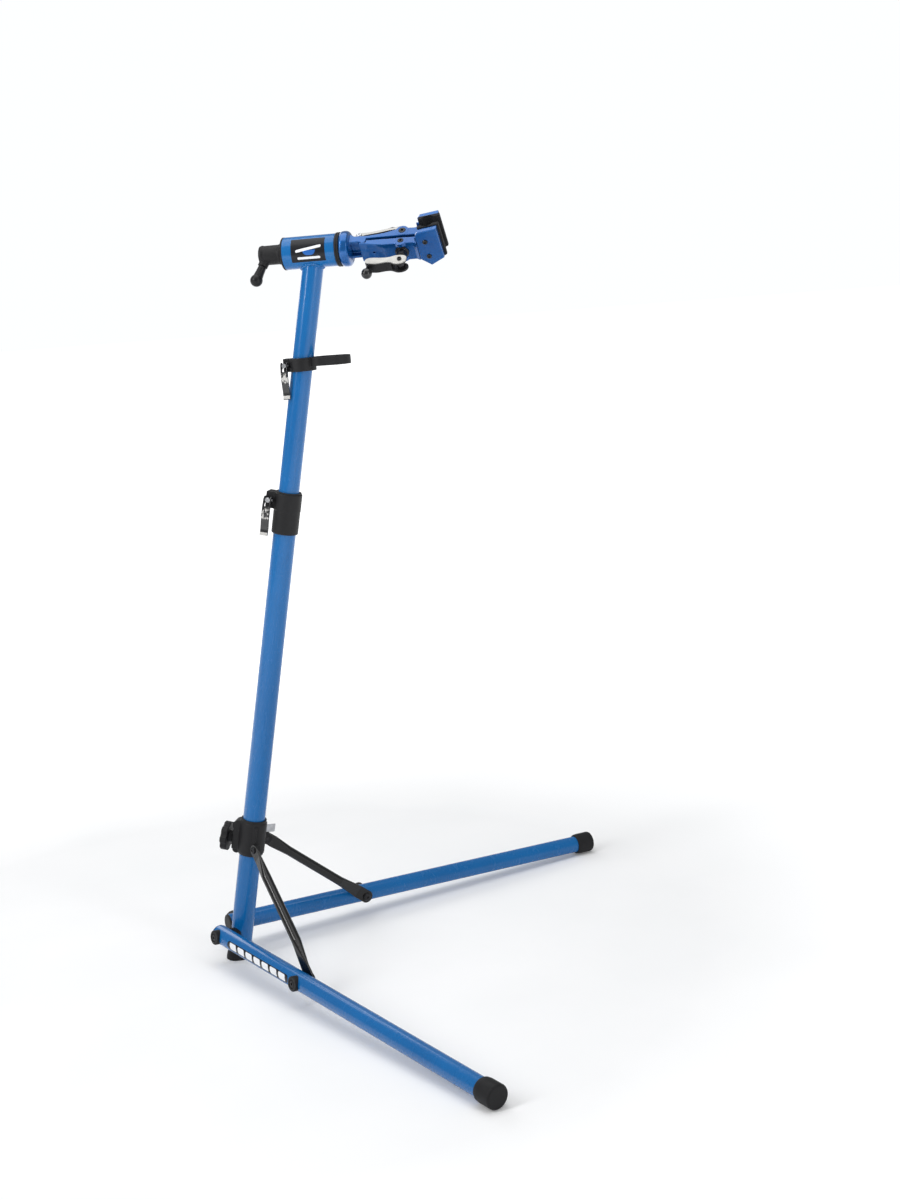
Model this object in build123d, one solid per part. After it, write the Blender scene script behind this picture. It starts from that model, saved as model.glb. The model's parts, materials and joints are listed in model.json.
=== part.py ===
from build123d import *
from math import sin, cos, tan, radians
import os

# Folding bicycle repair stand: a leaning upright on two braced legs, with a telescoping
# mast that carries a clamp.  Millimetres, +Z up.
# Origin: the floor point under the foot, where the axis of the leaning upright meets the
# floor.  +X is forward, the way the clamp points and the bisector of the two legs.  The
# near leg is on the -Y side.  A height "h" is measured along the leaning upright.

os.makedirs("parts", exist_ok=True)

# ---------------------------------------------------------------------------
# Driving dimensions
# ---------------------------------------------------------------------------

# upright: lower tube, and the mast tube that slides in it
LEAN = 12.0                         # forward lean, degrees
LOW_R, LOW_WALL = 42.4 / 2, 1.65
LOW_BOTTOM, LOW_TOP = 10.0, 893.0
MAST_R, MAST_WALL = 38.1 / 2, 1.65
MAST_BOTTOM = 668.0
HEAD_H = 1368.0                     # height of the head axis

# head tube and clamp
HEAD_R, HEAD_WALL = 57.15 / 2, 2.1
HEAD_BACK, HEAD_FRONT = 53.5, 43.0  # reach behind and ahead of the upright axis
SHAFT_R = 10.0
ROLL = 42.0                         # rest turn of the clamp about the head axis, degrees
POST_R = 13.6                       # tube held in the jaws at rest (27.2 mm post)
POST_X = 215.0                      # its axis, forward of the upright axis

# legs
FOLD_TURN = 41.6                    # turn of each leg's folding plane about the upright
LEG_OUT = 44.5                      # upright axis to leg centre line
LEG_R, LEG_WALL = 34.9 / 2, 1.65
HINGE_X, HINGE_H = 6.5, 53.5        # leg hinge, in the folding plane
LEG_BACK, LEG_FRONT = 15.0, 845.0   # from the hinge to tube end and cap face
CAP_R = 43.0 / 2
BRACE_BOLT = 280.0                  # hinge to brace bolt, along the leg

# brace pin on the collar, in the folding plane
EAR_X, EAR_H = 38.0, 240.0

BOLT_R = 4.0                        # hinge, brace and ear bolts

# radial clearances
RUN = 0.05                          # turning bores
SNUG = 0.04                         # fixed sleeves and plugs
SLIDE = 0.08                        # parts that slide on or in a tube
LEG_FIT = 0.05                      # cap, plug and saddles on the leg tube

LOW_BORE_R = LOW_R - LOW_WALL
MAST_BORE_R = MAST_R - MAST_WALL
HEAD_BORE_R = HEAD_R - HEAD_WALL
LEG_BORE_R = LEG_R - LEG_WALL

lean = radians(LEAN)
fold_turn = radians(FOLD_TURN)


# ---------------------------------------------------------------------------
# Helpers
# ---------------------------------------------------------------------------
def tilted(x, y, h):
    """World vector of a point or direction given in the upright's frame."""
    return Vector(x * cos(lean) + h * sin(lean), y, -x * sin(lean) + h * cos(lean))


def frame(origin, x_dir, z_dir):
    return Plane(origin=tuple(origin), x_dir=tuple(x_dir), z_dir=tuple(z_dir))


def cyl(plane, x, y, z, radius, length):
    """Cylinder along the plane's normal from z to z + length."""
    base = (Align.CENTER, Align.CENTER, Align.MIN)
    return plane * Pos(x, y, z) * Cylinder(radius, length, align=base)


def box(plane, x0, x1, y0, y1, z0, z1):
    middle = Pos((x0 + x1) / 2, (y0 + y1) / 2, (z0 + z1) / 2)
    return plane * middle * Box(x1 - x0, y1 - y0, z1 - z0)


def tube(plane, outer_r, inner_r, z0, z1):
    bore = cyl(plane, 0, 0, z0 - 1, inner_r, z1 - z0 + 2)
    return cyl(plane, 0, 0, z0, outer_r, z1 - z0) - bore


def spin(plane, points):
    """Solid of revolution about the plane's normal from (radius, z) points."""
    outline = Polyline(*[(r, 0, z) for r, z in points], close=True)
    return plane * revolve(make_face(outline), Axis.Z)


def hexagon(plane, x, y, z, radius, height):
    """Six-sided prism, radius to its corners."""
    return plane * Pos(x, y, z) * extrude(RegularPolygon(radius, 6), height)


def bolt_head(plane, x, y, z, radius, height, socket_r=2.9, way=1):
    """Domed socket head seated on z, rising along the normal (way 1) or against it (-1)."""
    # (share of radius, share of height)
    dome = [(0, 0), (1, 0), (1, 0.45), (0.86, 0.8), (0.55, 1), (0, 1)]
    body = spin(plane * Pos(x, y, z), [(radius * r, way * height * t) for r, t in dome])
    socket_z = z + height * (0.35 if way > 0 else -1.35)
    return body - hexagon(plane, x, y, socket_z, socket_r, height)


def soft(shape, edges, radius):
    """Fillet that steps down in radius, and keeps the sharp shape if none is taken."""
    for share in (1.0, 0.6, 0.3):
        # guards against the kernel refusing this radius on these edges
        try:
            rounded = fillet(edges, radius * share)
            if rounded.is_valid and rounded.volume > 0:
                return rounded
        except Exception:
            pass
    return shape


def circles(shape):
    return shape.edges().filter_by(GeomType.CIRCLE)


def largest(shape):
    return sorted(shape.solids(), key=lambda solid: -solid.volume)[0]


def far(shape):
    """The far-side twin of a near-side shape."""
    return mirror(shape, about=Plane.XZ)


def save(name, *shapes):
    solids = [solid for shape in shapes for solid in shape.solids()]
    part = solids[0] if len(solids) == 1 else Compound(children=solids)
    part.label = name
    export_step(part, f"parts/{name}.step")


def save_sides(name, *shapes):
    """Save the near piece and its far twin."""
    save(f"near_{name}", *shapes)
    save(f"far_{name}", *[far(shape) for shape in shapes])


# ---------------------------------------------------------------------------
# Frames of the upright and of the near folding plane
# ---------------------------------------------------------------------------
ACROSS_DIR = tilted(cos(fold_turn), -sin(fold_turn), 0)   # in the folding plane
OUT_DIR = tilted(-sin(fold_turn), -cos(fold_turn), 0)     # its outward normal
UP_DIR = tilted(0, 0, 1)
FORWARD_DIR = tilted(1, 0, 0)       # square to the upright
NEAR_DIR = (0, -1, 0)

UPRIGHT = frame((0, 0, 0), FORWARD_DIR, UP_DIR)
FOLD = frame((0, 0, 0), ACROSS_DIR, OUT_DIR)   # x across, y up the upright, z outward


def crossbar(x, h, radius, length):
    """Cylinder lying sideways, centred on the upright's middle plane."""
    return UPRIGHT * Pos(x, 0, h) * Rot(90, 0, 0) * Cylinder(radius, length)


# ===========================================================================
# Lower tube, pivot block, foot
# ===========================================================================
hinge_bore = cyl(FOLD, HINGE_X, HINGE_H, 0, BOLT_R + RUN, 60)
lower_tube = tube(UPRIGHT, LOW_R, LOW_BORE_R, LOW_BOTTOM, LOW_TOP)
save("lower_tube", lower_tube - hinge_bore - far(hinge_bore))

# plug inside the tube that takes the hinge bolts, recessed underneath
block_bore = cyl(FOLD, HINGE_X, HINGE_H, 5.0, BOLT_R + RUN, 60)
pivot_block = cyl(UPRIGHT, 0, 0, 14, LOW_BORE_R - SNUG, 76) - block_bore - far(block_bore)
save("pivot_block", pivot_block - cyl(UPRIGHT, 0, 0, 13, 11, 18))

# cup round the tube's lower end, cut level at the floor
FOOT_TOP = 33
foot = spin(UPRIGHT, [
    (0, -12), (24.5, -12), (24.5, 6), (23.2, 12), (22.9, 31.5), (22.2, FOOT_TOP),
    (LOW_R + SNUG, FOOT_TOP), (LOW_R + SNUG, LOW_BOTTOM), (0, LOW_BOTTOM)])
save("base_foot", foot - box(Plane.XY, -60, 60, -60, 60, -60, 0))

# ===========================================================================
# Legs
# ===========================================================================


def rest_angle():
    """Angle of the leg from the upright that puts its cap on the floor."""
    low, high = 60.0, 100.0
    for _ in range(60):
        middle = (low + high) / 2
        across = HINGE_X + LEG_FRONT * sin(radians(middle))
        h = HINGE_H + LEG_FRONT * cos(radians(middle))
        forward = across * cos(fold_turn) - LEG_OUT * sin(fold_turn)
        if tilted(forward, 0, h).Z > CAP_R:
            low = middle
        else:
            high = middle
    return (low + high) / 2


leg_angle = radians(rest_angle())
LEG_DIR = ACROSS_DIR * sin(leg_angle) + UP_DIR * cos(leg_angle)
hinge = ACROSS_DIR * HINGE_X + UP_DIR * HINGE_H
leg_origin = hinge + OUT_DIR * LEG_OUT
LEG = frame(leg_origin, LEG_DIR, OUT_DIR)         # x along the leg, z outward
LEG_AXIS = frame(leg_origin, OUT_DIR, LEG_DIR)    # z along the leg, x outward

LEG_BOLTS = (0, BRACE_BOLT)
CAP_FLOOR = 6.0                     # tube end to cap face

leg = tube(LEG_AXIS, LEG_R, LEG_BORE_R, -LEG_BACK, LEG_FRONT - CAP_FLOOR)
for x in LEG_BOLTS:
    leg -= cyl(LEG, x, 0, -40, BOLT_R + RUN, 80)
save_sides("leg_tube", leg)

# end cap: a moulded cup over the tube end, z from its face
cup_r = LEG_R + LEG_FIT
cup_z = 0.05 - CAP_FLOOR
save_sides("leg_cap", spin(LEG_AXIS * Pos(0, 0, LEG_FRONT), [
    (0, cup_z), (cup_r, cup_z), (cup_r, -40), (LEG_R + 1.6, -40), (CAP_R - 0.9, -37),
    (CAP_R, -30), (CAP_R, -4), (CAP_R - 0.9, -1.5), (CAP_R - 3.2, 0), (0, 0)]))

# flanged plug in the tube's rear end, z from that end
plug_r = LEG_BORE_R - LEG_FIT
save_sides("leg_plug", spin(LEG_AXIS * Pos(0, 0, -LEG_BACK), [
    (0, -3.5), (LEG_R - 3, -3.5), (LEG_R - 0.6, -2.4), (LEG_R, -0.05), (plug_r, -0.05),
    (plug_r, 8), (LEG_BORE_R - 2.0, 8), (LEG_BORE_R - 2.0, 1), (0, 1)]))

HEAD_SEAT = 18.6                    # bolt head seat, outward of the leg axis


def saddle(x):
    """Round washer hollowed to sit on the outside of the leg, counterbored for the head."""
    washer = cyl(LEG, x, 0, 6, 14.0, 16.5)
    outermost = circles(washer).sort_by(lambda e: (e.center() - leg_origin).dot(OUT_DIR))[-1:]
    washer = soft(washer, outermost, 2.0)
    washer -= cyl(LEG_AXIS, 0, 0, x - 40, LEG_R + LEG_FIT, 80)
    washer -= cyl(LEG, x, 0, 0, BOLT_R + RUN, 60)
    washer -= cyl(LEG, x, 0, HEAD_SEAT, 8.3, 20)
    return washer


save_sides("leg_saddles", *[saddle(x) for x in LEG_BOLTS])


def leg_bolt_head(x):
    return bolt_head(LEG, x, 0, HEAD_SEAT, 8.0, 4.2)


# hinge bolts: dome head in the saddle, shank through leg, spacer, tube and into the block
BOLT_TIP = 5.6                      # outward of the upright axis
hinge_shank = cyl(FOLD, HINGE_X, HINGE_H, BOLT_TIP, BOLT_R, LEG_OUT + HEAD_SEAT - BOLT_TIP)
hinge_bolt = hinge_shank + leg_bolt_head(0)
save("leg_pivot_bolts", hinge_bolt, far(hinge_bolt))

# spacers between the tube and the legs, hollowed to the tube, flat to the turning leg
SPACER_START = 14.0
spacer = cyl(FOLD, HINGE_X, HINGE_H, SPACER_START, 13.0, LEG_OUT - LEG_R - 0.06 - SPACER_START)
spacer -= cyl(UPRIGHT, 0, 0, -100, LOW_R + SNUG, 300)
spacer -= hinge_bore
spacer = largest(spacer)
save("leg_spacers", spacer, far(spacer))

brace_shank = cyl(LEG, BRACE_BOLT, 0, -LEG_R + 0.03, BOLT_R, LEG_R + HEAD_SEAT)
save_sides("brace_bolt", brace_shank + leg_bolt_head(BRACE_BOLT))

# plain label wrapped on the outside of the near leg
LABEL_GAP, LABEL_OUT = 0.02, 0.32   # inner and outer face above the tube
label = tube(LEG_AXIS, LEG_R + LABEL_OUT, LEG_R + LABEL_GAP, 40, 262)
save("near_leg_label", label & box(LEG, 40, 262, -8.5, 8.5, 5, 40))

# ===========================================================================
# Braces.  All their pivots are parallel to the folding plane's normal.
# ===========================================================================
ear_point = ACROSS_DIR * EAR_X + UP_DIR * EAR_H
brace_line = hinge + LEG_DIR * BRACE_BOLT - ear_point
BRACE_DIR = brace_line.normalized()
brace_len = brace_line.length
BRACE = frame(ear_point, BRACE_DIR, OUT_DIR)         # x down the brace, z outward
BRACE_AXIS = frame(ear_point, OUT_DIR, BRACE_DIR)    # z down the brace, x outward

UPPER_OUT, LOWER_OUT = 16.7, 24.6   # mid planes of the flattened ends
TUBE_OUT = 17.4                     # axis of the round middle
FLAT = 4.0                          # thickness of the flattened ends

# distance down the brace, outward offset, width, thickness
BRACE_STATIONS = [
    (2, UPPER_OUT, 23.0, FLAT),
    (20, UPPER_OUT, 23.6, FLAT),
    (62, TUBE_OUT, 18.2, 17.8),
    (brace_len - 84, TUBE_OUT, 18.2, 17.8),
    (brace_len - 26, LOWER_OUT, 25.6, FLAT),
    (brace_len - 2, LOWER_OUT, 26.0, FLAT),
]


def brace_section(along, out, width, thickness):
    return BRACE_AXIS * Pos(out, 0, along) * SlotOverall(width, thickness, rotation=90)


brace = cyl(BRACE, 0, 0, UPPER_OUT - FLAT / 2, 11.5, FLAT)
brace += cyl(BRACE, brace_len, 0, LOWER_OUT - FLAT / 2, 13.0, FLAT)
for start, end in zip(BRACE_STATIONS, BRACE_STATIONS[1:]):
    brace += loft([brace_section(*start), brace_section(*end)])
for x in (0, brace_len):
    brace -= cyl(BRACE, x, 0, 0, BOLT_R + RUN, 60)
save_sides("brace", largest(brace))

# lower brace stud: head on the inner face, shank in the eye
stud_z = LOWER_OUT - FLAT / 2 - 0.03
stud = cyl(BRACE, brace_len, 0, stud_z, BOLT_R, 3.93)
stud += bolt_head(BRACE, brace_len, 0, stud_z, 8.5, 4.0, way=-1)
save_sides("brace_stud", stud)

# ===========================================================================
# Brace collar, sliding on the lower tube
# ===========================================================================
COLLAR_R = 26.0
EAR_R = 11.0
EAR_IN, EAR_OUT = 8.4, UPPER_OUT - FLAT / 2 - 0.1   # ear faces, along the plane's normal
KNOB_H = 244.0

collar = cyl(UPRIGHT, 0, 0, 222, COLLAR_R, 62)
collar = soft(collar, circles(collar), 1.6)
# narrower core that shows as a skirt ring below and a lip above
collar += cyl(UPRIGHT, 0, 0, 218, COLLAR_R - 1.6, 72)
# rear boss for the knob, with a lobe above and one below
collar += UPRIGHT * Pos(-26, 0, KNOB_H) * Box(20, 26, 38)
collar += crossbar(-27, 272, 11, 24)
collar += crossbar(-27, 224, 8, 20)
# ears for the braces, each with a web behind it
ear = box(FOLD, 12, EAR_X, EAR_H - EAR_R, EAR_H + EAR_R, EAR_IN, EAR_OUT)
ear += cyl(FOLD, EAR_X, EAR_H, EAR_IN, EAR_R, EAR_OUT - EAR_IN)
web = box(FOLD, 10, 30, 226, 282, 9.0, 13.6)
collar = collar + ear + far(ear) + web + far(web)
collar -= cyl(UPRIGHT, 0, 0, 150, LOW_R + SLIDE, 220)
ear_bore = cyl(FOLD, EAR_X, EAR_H, 0, BOLT_R + RUN, 60)
collar -= ear_bore
collar -= far(ear_bore)
KNOB = frame(tilted(0, 0, KNOB_H), (0, 1, 0), -FORWARD_DIR)   # z rearward
KNOB_STEM_R = 5.0
collar -= cyl(KNOB, 0, 0, 10, KNOB_STEM_R + RUN, 60)
save("brace_collar", largest(collar))

brace_face = UPPER_OUT + FLAT / 2
ear_pin = cyl(FOLD, EAR_X, EAR_H, EAR_IN, BOLT_R, brace_face + 0.1 - EAR_IN)
ear_pin += bolt_head(FOLD, EAR_X, EAR_H, brace_face + 0.05, 6.5, 3.4)
save("brace_pins", ear_pin, far(ear_pin))

# thin plate on the far side, just above the ear
save("ear_plate", far(box(FOLD, 29, 54, 252, 268, 13.7, 15.4)))

# hand knob: a dished disc scalloped into eight shallow lobes, on a hub and stem
DISC_START, DISC_T = 44, 13         # from the upright axis
LOBES = 8
knob = cyl(KNOB, 0, 0, DISC_START, 28.5, DISC_T)
for i in range(LOBES):
    knob -= cyl(KNOB * Rot(0, 0, (i + 0.5) * 360 / LOBES), 33.2, 0, 43, 8.0, 16)


def on_knob_face(edge):
    height = (edge.center() - KNOB.origin).dot(KNOB.z_dir)
    return abs(height - DISC_START - DISC_T) < 0.01


knob = soft(knob, knob.edges().filter_by(on_knob_face), 2.5)
knob += cyl(KNOB, 0, 0, 37.2, 11.0, 8)
knob -= cyl(KNOB, 0, 0, 55.2, 15.0, 4)
knob += cyl(KNOB, 0, 0, LOW_R + 0.15, KNOB_STEM_R, 40.0 - LOW_R - 0.15)
save("collar_knob", knob)


# ===========================================================================
# Quick-release bolts and levers, shared by the height collar and accessory band
# ===========================================================================
def cam_bolt(bolt_frame, pin_frame, shank, nut, eye, pin):
    """Clamp bolt with a nut on the far side and, on the near side, an eye and its pin.
    shank, nut and eye are (radius, start, length); pin is (radius, length)."""
    bolt = cyl(bolt_frame, 0, 0, shank[1], shank[0], shank[2])
    bolt += hexagon(bolt_frame, 0, 0, nut[1], nut[0], nut[2])
    bolt += cyl(bolt_frame, 0, 0, eye[1], eye[0], eye[2])
    bolt -= cyl(pin_frame, 0, 0, -20, pin[0] + RUN, 40)
    return bolt, cyl(pin_frame, 0, 0, -pin[1] / 2, pin[0], pin[1])


def hanging_lever(pin_frame, outer, inner, width, eye_r, pin_r, slot_side, slot_width):
    """Curved lever hanging from its cam pin, hooked out at the tip.
    outer and inner are (sideways, up) points from the pin centre."""
    edge = pin_frame * Pos(0, 0, -width / 2)
    outer_curve = Spline(*outer)
    inner_curve = Spline(*inner)
    tip = Line(outer_curve @ 1, inner_curve @ 0)
    top_line = Line(inner_curve @ 1, outer_curve @ 0)
    lever = edge * extrude(make_face([outer_curve, tip, inner_curve, top_line]), width)
    lever += cyl(edge, 0, 0, 0, eye_r, width)
    lever -= cyl(edge, 0, 0, -5, pin_r + RUN, width + 10)
    # slot that clears the eye of the bolt through the whole swing
    lever -= pin_frame * Box(slot_side, slot_side, slot_width)
    return largest(lever)


# ===========================================================================
# Height collar on the lower tube's top
# ===========================================================================
HEIGHT_R = 24.8
SHOULDER_H = LOW_TOP + 0.3          # step inside that stops on the tube's end
LUG_BOLT_X, LUG_BOLT_H = -32, 914
LUG_BOLT_R = 3.0

sleeve = cyl(UPRIGHT, 0, 0, 853, HEIGHT_R, 42.5)
sleeve = soft(sleeve, circles(sleeve).sort_by(lambda e: e.center().Z)[:1], 1.5)
band = cyl(UPRIGHT, 0, 0, 895.9, HEIGHT_R + 0.5, 33)
band = soft(band, circles(band).sort_by(lambda e: e.center().Z)[-1:], 1.8)
height_collar = sleeve + band + cyl(UPRIGHT, 0, 0, 894, HEIGHT_R - 0.8, 4)
# clamp lugs on the rear of the upper band
lug = UPRIGHT * Pos(-29, 0, 913) * Box(20, 26, 31)
lug += crossbar(-30, 919, 9.5, 26)
height_collar = height_collar + lug
height_collar -= cyl(UPRIGHT, 0, 0, 800, LOW_R + SNUG, SHOULDER_H - 800)
height_collar -= cyl(UPRIGHT, 0, 0, SHOULDER_H, 21.0, 60)
# slit between the lugs, then a cross slit under the rear half of the band
height_collar -= box(UPRIGHT, -60, -15, -1.6, 1.6, 896.2, 950)
height_collar -= (box(UPRIGHT, -60, 0, -30, 30, 895.6, 896.8)
                  - cyl(UPRIGHT, 0, 0, 890, 22.5, 12))
LUG_BOLT = frame(tilted(LUG_BOLT_X, 0, LUG_BOLT_H), FORWARD_DIR, NEAR_DIR)
height_collar -= cyl(LUG_BOLT, 0, 0, -30, LUG_BOLT_R + RUN, 60)
save("height_collar", largest(height_collar))

# flanged shim round the mast, split at the rear
shim_r = MAST_R + SLIDE
shim = tube(UPRIGHT, 20.95, shim_r, 896.6, 930.2) + tube(UPRIGHT, 23.6, shim_r, 929.1, 931.0)
save("collar_shim", shim - box(UPRIGHT, -40, 0, -1.2, 1.2, 890, 940))

HEIGHT_PIN_R = 2.5
HEIGHT_PIN = frame(tilted(LUG_BOLT_X, -21.0, LUG_BOLT_H), (0, 1, 0), FORWARD_DIR)
save("height_clamp_bolt", *cam_bolt(
    LUG_BOLT, HEIGHT_PIN, shank=(LUG_BOLT_R, -17.5, 35.5), nut=(6.0, -18.5, 5.2),
    eye=(4.6, 15.0, 10.0), pin=(HEIGHT_PIN_R, 17.0)))
save("height_lever", hanging_lever(
    HEIGHT_PIN,
    outer=[(-6.5, 3), (-8.8, -8), (-9.8, -22), (-9.0, -38), (-6.4, -55), (-8.8, -66)],
    inner=[(-3.6, -67), (-1.6, -55), (-4.0, -38), (-4.2, -22), (-2.0, -10), (3.0, -5.5)],
    width=15.0, eye_r=7.0, pin_r=HEIGHT_PIN_R, slot_side=24, slot_width=10.0))

# ===========================================================================
# Mast: upper tube, slide bush, head tube with its bushes and label
# ===========================================================================
head_centre = tilted(0, 0, HEAD_H)
HEAD = frame(head_centre, (0, 1, 0), (1, 0, 0))   # z forward along the head axis

mast = tube(UPRIGHT, MAST_R, MAST_BORE_R, MAST_BOTTOM, HEAD_H)
mast -= cyl(HEAD, 0, 0, -120, HEAD_R + 0.01, 240)
save("upper_tube", largest(mast))

# bush on the mast's lower end, z from that end
slide_r = LOW_BORE_R - SLIDE
spigot_r = MAST_BORE_R - 0.05
save("slide_bush", spin(UPRIGHT * Pos(0, 0, MAST_BOTTOM), [
    (0, -14), (LOW_BORE_R - 1.6, -14), (slide_r, -12), (slide_r, -0.06),
    (spigot_r, -0.06), (spigot_r, 26), (MAST_BORE_R - 2.5, 26), (MAST_BORE_R - 2.5, -8),
    (0, -8)]))

save("head_tube", tube(HEAD, HEAD_R, HEAD_BORE_R, -HEAD_BACK, HEAD_FRONT))

# head bushes, z from the tube end each one plugs
shaft_bore = SHAFT_R + RUN
bush_r = HEAD_BORE_R - SNUG
save("rear_head_bush", spin(HEAD * Pos(0, 0, -HEAD_BACK), [
    (shaft_bore, -3.8), (HEAD_R - 1.2, -3.8), (HEAD_R + 0.3, -2.6), (HEAD_R + 0.3, -0.02),
    (bush_r, -0.02), (bush_r, 22), (shaft_bore, 22)]))
save("front_head_bush", spin(HEAD * Pos(0, 0, HEAD_FRONT), [
    (shaft_bore, -22), (bush_r, -22), (bush_r, 0.02), (HEAD_R + 0.9, 0.02),
    (HEAD_R + 1.5, 1.4), (HEAD_R + 1.5, 3.4), (HEAD_R + 0.5, 4.0), (HEAD_R + 1.5, 4.6),
    (HEAD_R + 1.5, 6.6), (HEAD_R + 0.3, 7.8), (shaft_bore, 7.8)]))

# label wrapped on the near side of the head tube
head_label = tube(HEAD, HEAD_R + LABEL_OUT, HEAD_R + LABEL_GAP, -36, 26)
head_near = frame(head_centre, (1, 0, 0), NEAR_DIR)
save("head_label", head_label & box(head_near, -36, 26, -17, 23, 5, 55))

# ===========================================================================
# Accessory band: level band round the leaning mast with a flat hoop in front
# ===========================================================================
BAND_Z, BAND_T = 1129.0, 24.0
HOOP_LEN, HOOP_WIDTH, HOOP_WALL = 76, 50, 3.5
HOOP_X, HOOP_BOTTOM = 52, 8.0       # centre ahead of the band, rise above its bottom
band_mid = BAND_Z + BAND_T / 2
band_x = band_mid * tan(lean)
band_top = BAND_Z + BAND_T
BAND = frame((band_x, 0, BAND_Z), (1, 0, 0), (0, 0, 1))

accessory = cyl(BAND, 0, 0, 0, 24.6, BAND_T)
accessory += BAND * Pos(-26, 0, BAND_T / 2) * Box(16, 18, BAND_T)
hoop_t = BAND_T - HOOP_BOTTOM
hoop = BAND * Pos(HOOP_X, 0, HOOP_BOTTOM) * extrude(SlotOverall(HOOP_LEN, HOOP_WIDTH), hoop_t)
opening = SlotOverall(HOOP_LEN - 2 * HOOP_WALL, HOOP_WIDTH - 2 * HOOP_WALL)
hoop -= BAND * Pos(HOOP_X, 0, HOOP_BOTTOM - 1) * extrude(opening, hoop_t + 2)
accessory += hoop
accessory -= cyl(UPRIGHT, 0, 0, 1050, MAST_R + SLIDE, 240)
accessory -= BAND * Pos(-30, 0, BAND_T / 2) * Box(40, 2.4, 60)
accessory = soft(accessory, accessory.edges().filter_by(
    lambda e: abs(e.center().Z - band_top) < 0.01 and e.length > 60), 0.8)
BAND_BOLT_R = 2.5
band_bolt_x = band_x - 29.5
BAND_BOLT = frame((band_bolt_x, 0, band_mid), (1, 0, 0), NEAR_DIR)
accessory -= cyl(BAND_BOLT, 0, 0, -30, BAND_BOLT_R + RUN, 60)
save("accessory_band", largest(accessory))

BAND_PIN_R = 2.0
BAND_PIN = frame((band_bolt_x, -16.0, band_mid), (0, 1, 0), (1, 0, 0))
save("accessory_bolt", *cam_bolt(
    BAND_BOLT, BAND_PIN, shank=(BAND_BOLT_R, -13.5, 27), nut=(5.0, -13.4, 4.2),
    eye=(4.0, 11.0, 9.0), pin=(BAND_PIN_R, 15.0)))
save("accessory_lever", hanging_lever(
    BAND_PIN,
    outer=[(-5.0, 3), (-7.4, -7), (-8.2, -18), (-7.0, -29), (-4.6, -41), (-6.6, -48)],
    inner=[(-2.2, -49), (-0.6, -40), (-2.8, -29), (-3.4, -18), (-1.4, -9), (2.6, -4.8)],
    width=13.0, eye_r=6.0, pin_r=BAND_PIN_R, slot_side=20, slot_width=8.6))

# ===========================================================================
# Clamp.  Its frame: origin on the head axis over the upright axis, x forward along
# the head axis, y across the jaws (swinging near arm on -y), z along the jaws.
# ===========================================================================
roll = radians(ROLL)
CLAMP = frame(head_centre, (1, 0, 0), (0, -sin(roll), cos(roll)))

PIVOT_X, PIVOT_Y = 93.0, -3.5       # swinging arm's hinge
PIVOT_R = 3.5
KNUCKLE_R = 5.7
SCREW_X, SCREW_R = 163.0, 4.0
ARM_IN, ARM_OUT = 4.5, 19.5         # inner and outer faces of the swinging arm
FIXED_IN = 2.0                      # inner face of the fixed arm
BARREL_Y, BARREL_R = 14.0, 6.0      # screw trunnion in the fixed arm
STUB_Y, STUB_R = -12.0, 5.0         # trunnion pins in the swinging arm
TONGUE_IN, TONGUE_OUT = 17.0, 19.9  # faces of the tongue behind each jaw
JAW_OUT = 24.6                      # outer face of the jaws
JAW_SCREWS = [(209, 22.0), (210, -10.5)]   # x, z
JAW_SCREW_R = 2.5


def across(x, y, z, way=-1):
    """Frame at a clamp point, its normal toward the far (+1) or near (-1) side."""
    origin = CLAMP.from_local_coords(Vector(x, y, z))
    return frame(origin, (1, 0, 0), CLAMP.y_dir * way)


def side(points, y0, y1):
    """Extrude an (x, z) outline from y0 to y1, y0 < y1."""
    return across(0, y1, 0) * extrude(make_face(Polyline(*points, close=True)), y1 - y0)


def top(points, z0, z1):
    """Extrude an (x, y) outline from z0 to z1."""
    return CLAMP * Pos(0, 0, z0) * extrude(make_face(Polyline(*points, close=True)), z1 - z0)


def blob(points, z0, z1):
    """Extrude a smooth closed curve through (x, y) points from z0 to z1."""
    return CLAMP * Pos(0, 0, z0) * extrude(make_face(Spline(*points, periodic=True)), z1 - z0)


def ycyl(x, z, y0, y1, radius):
    return cyl(across(x, y1, z), 0, 0, 0, radius, y1 - y0)


def zcyl(x, y, z0, z1, radius):
    return cyl(CLAMP, x, y, z0, radius, z1 - z0)


def span(sign, inner, outer):
    """The y range of a piece on the fixed (+1) or swinging (-1) side."""
    return sorted((sign * inner, sign * outer))


def add_bosses(arm, y, y0, y1):
    """Round boss at each end of the screw trunnion, kept between y0 and y1."""
    for boss_z, keep_z in ((13.2, 0), (-20.0, -30)):
        boss = zcyl(SCREW_X, y, boss_z, boss_z + 6.8, 11.5)
        arm += boss & box(CLAMP, 140, 190, y0, y1, keep_z, keep_z + 30)
    return arm


def tongue(sign):
    return box(CLAMP, 190, 226, *span(sign, TONGUE_IN, TONGUE_OUT), -17, 30)


def drill_jaw_screws(shape, y0=-60, y1=60):
    for x, z in JAW_SCREWS:
        shape -= ycyl(x, z, y0, y1, JAW_SCREW_R + RUN)
    return shape


save("clamp_shaft", cyl(HEAD, 0, 0, -93.5, SHAFT_R, 93.5 + 64))

# clamp body: flange on the shaft, forked neck, fixed arm
flange = spin(HEAD, [
    (0, 50.9), (28.3, 50.9), (29.6, 52.2), (31.0, 54.5), (31.4, 58.5), (31.0, 63),
    (29.6, 66), (27.0, 67.6), (20.0, 68.2), (0, 68.2)])
neck = top([(64, 3.2), (100, 3.2), (100, 8.4), (84, 8.8), (76, 9.6), (70, 14), (64, 14)],
           -17, 17)
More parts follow.
